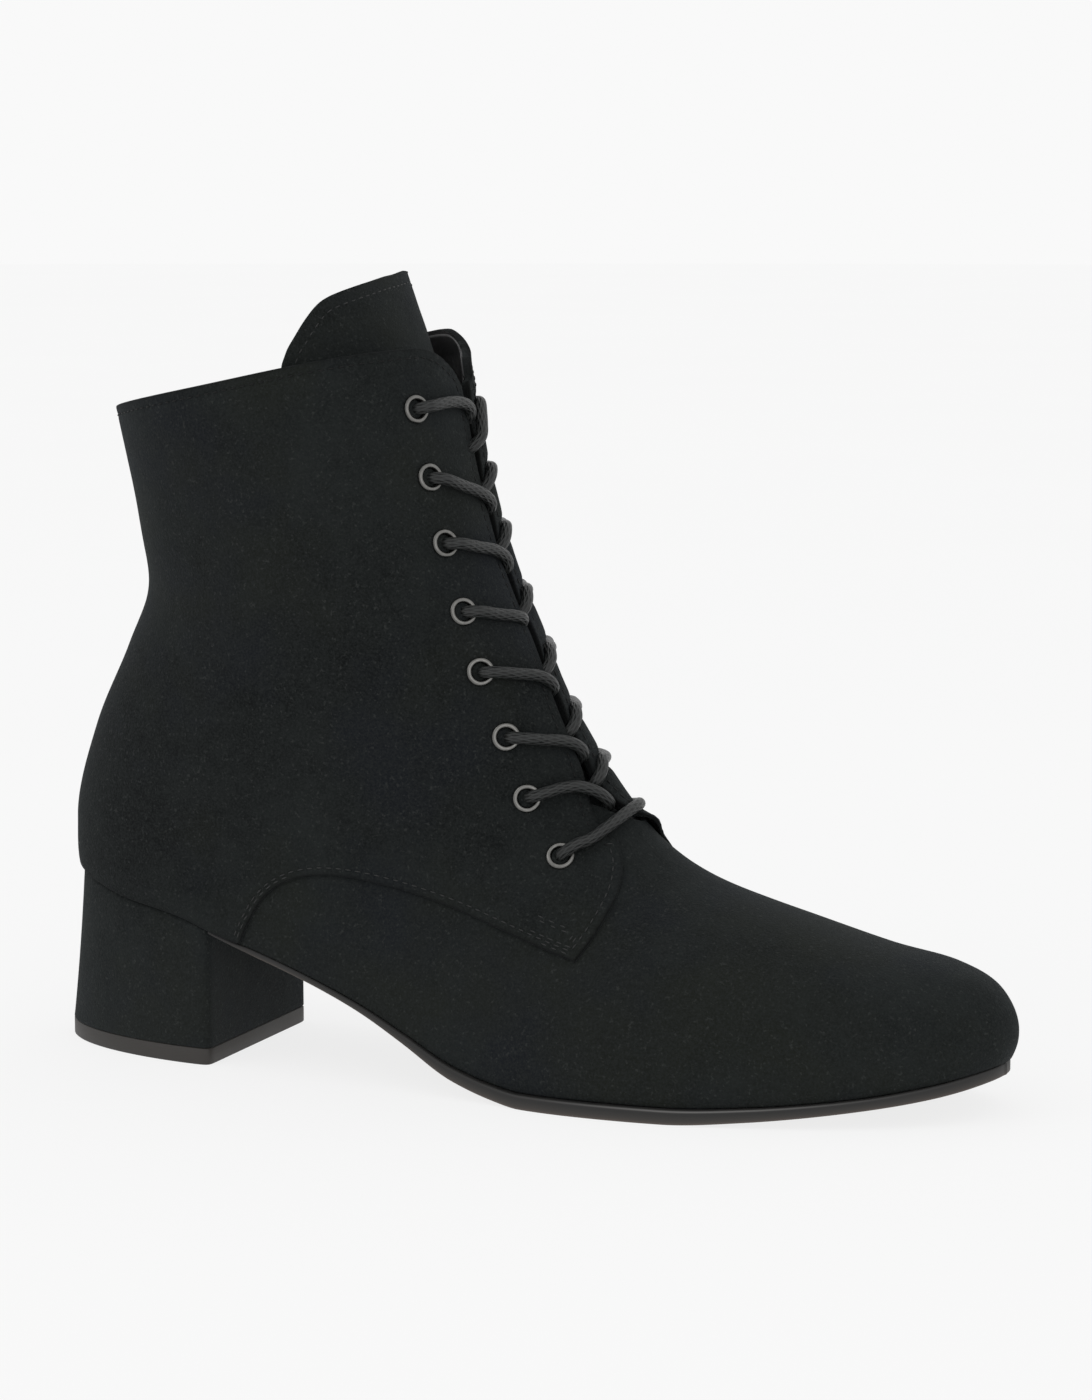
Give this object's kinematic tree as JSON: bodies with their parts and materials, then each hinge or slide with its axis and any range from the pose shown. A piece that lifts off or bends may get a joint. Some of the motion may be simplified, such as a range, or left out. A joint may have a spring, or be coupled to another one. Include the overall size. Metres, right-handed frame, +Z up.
{
  "type": "ankle boot",
  "caption": "Lace-up suede ankle boot for the right foot: hollow shaft and vamp, quarters over the vamp, tongue, ring eyelets, thin sole and covered block heel.",
  "frame": {"origin": "on the floor under the heel, on the flat underside of the top lift", "axes": "+X to the toe, +Z up, -Y to the outer side of the foot"},
  "size_m": [0.2553, 0.081, 0.1974],
  "materials": {
    "suede": "napped suede, matte",
    "lining": "smooth lining leather",
    "sole": "satin moulded rubber",
    "eyelet": "gunmetal plated brass rings",
    "lace": "round waxed braid"
  },
  "bodies": {
    "root": {"upper": "suede", "tongue": "suede", "insole": "lining", "outsole": "sole", "heel_block": "suede", "top_lift": "sole", "eyelet_lateral_1": "eyelet", "eyelet_lateral_2": "eyelet", "eyelet_lateral_3": "eyelet", "eyelet_lateral_4": "eyelet", "eyelet_lateral_5": "eyelet", "eyelet_lateral_6": "eyelet", "eyelet_lateral_7": "eyelet", "eyelet_lateral_8": "eyelet", "eyelet_medial_1": "eyelet", "eyelet_medial_2": "eyelet", "eyelet_medial_3": "eyelet", "eyelet_medial_4": "eyelet", "eyelet_medial_5": "eyelet", "eyelet_medial_6": "eyelet", "eyelet_medial_7": "eyelet", "eyelet_medial_8": "eyelet", "lace_crossing_1": "lace", "lace_crossing_2": "lace", "lace_crossing_3": "lace", "lace_crossing_4": "lace", "lace_crossing_5": "lace", "lace_crossing_6": "lace", "lace_crossing_7": "lace", "lace_bar": "lace"}
  },
  "joints": []
}
